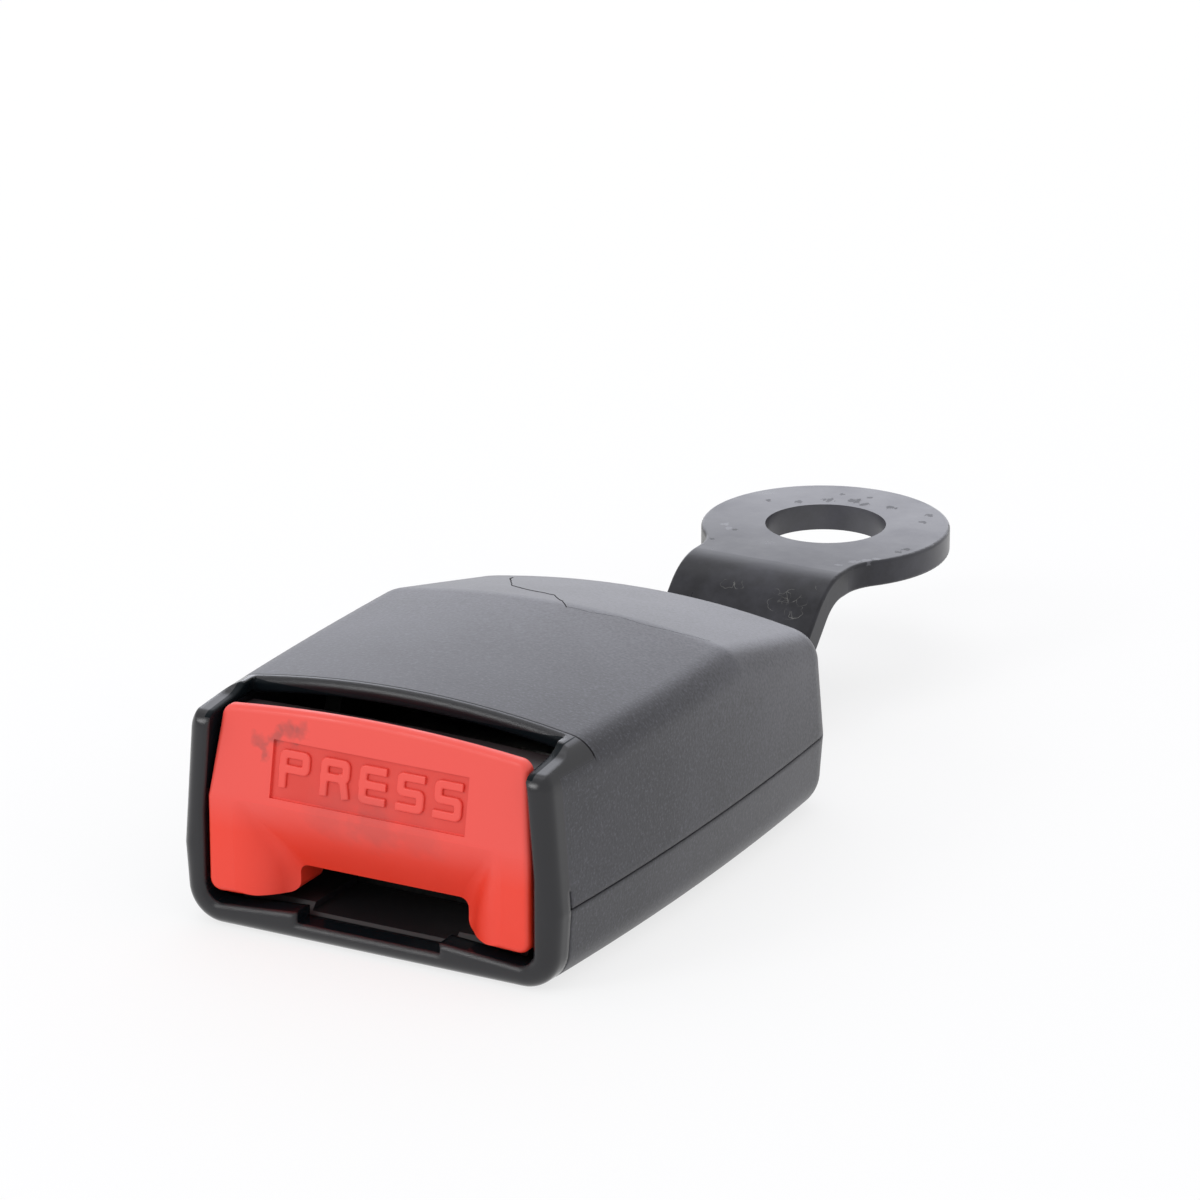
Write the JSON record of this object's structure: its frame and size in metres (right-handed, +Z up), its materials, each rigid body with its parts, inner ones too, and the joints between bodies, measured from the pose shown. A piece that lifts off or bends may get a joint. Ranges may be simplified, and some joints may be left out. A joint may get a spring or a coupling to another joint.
{
  "type": "seat belt anchorage",
  "caption": "Seat belt buckle with a push button, latch and ejector in a two-part plastic housing, on a bent steel anchor strap ending in a bolt ring.",
  "frame": {"origin": "centre of the anchor eye, on the underside of the strap's ring", "axes": "+Z up along the eye, -Y out of the buckle's mouth, +X to the right when facing the mouth's rear"},
  "size_m": [0.0456, 0.116, 0.0254],
  "materials": {
    "housing_plastic": "fine grained, dark grey",
    "button_plastic": "smooth red",
    "guide_plastic": "smooth black",
    "painted_steel": "black paint, worn",
    "plated_steel": "zinc plated",
    "spring_steel": "drawn wire",
    "pad_rubber": "soft"
  },
  "bodies": {
    "anchor": {"upper_cover": "housing_plastic", "lower_cover": "housing_plastic", "tongue_guide": "guide_plastic", "buckle_frame": "plated_steel", "frame_bridge": "plated_steel", "anchor_strap": "painted_steel", "frame_rivets": "plated_steel", "latch_pin": "plated_steel", "latch_pin_clips": "spring_steel", "ejector_rod": "plated_steel", "ejector_spring": "spring_steel", "button_spring_left": "spring_steel", "button_spring_right": "spring_steel", "button_spring_pegs": "plated_steel", "anti_rattle_pads": "pad_rubber", "cover_screws": "plated_steel"},
    "button": {"press_button": "button_plastic"},
    "ejector": {"ejector": "guide_plastic"},
    "latch": {"latch": "plated_steel"},
    "lock_bar": {"lock_bar": "plated_steel"}
  },
  "joints": [
    {"name": "button_press", "type": "slide", "parent": "anchor", "child": "button", "axis": [0, 1, 0], "range_m": [0, 0.004], "stiffness_N_per_m": 1500, "springref_m": -0.004, "deforming": ["button_spring_left", "button_spring_right"]},
    {"name": "ejector_slide", "type": "slide", "parent": "anchor", "child": "ejector", "axis": [0, 1, 0], "range_m": [0, 0.009], "stiffness_N_per_m": 800, "springref_m": -0.006, "deforming": ["ejector_spring"]},
    {"name": "latch_swing", "type": "hinge", "parent": "anchor", "child": "latch", "pos_m": [0, -0.062, 0.0026], "axis": [1, 0, 0], "range_deg": [0, 14]},
    {"name": "lock_bar_slide", "type": "slide", "parent": "anchor", "child": "lock_bar", "axis": [0, -0.7071, -0.7071], "range_m": [0, 0.00595]}
  ],
  "couplings": [
    {"joint": "latch_swing", "follows": "ejector_slide", "rad_per_m": 27.1},
    {"joint": "lock_bar_slide", "follows": "ejector_slide", "ratio": 0.66}
  ]
}
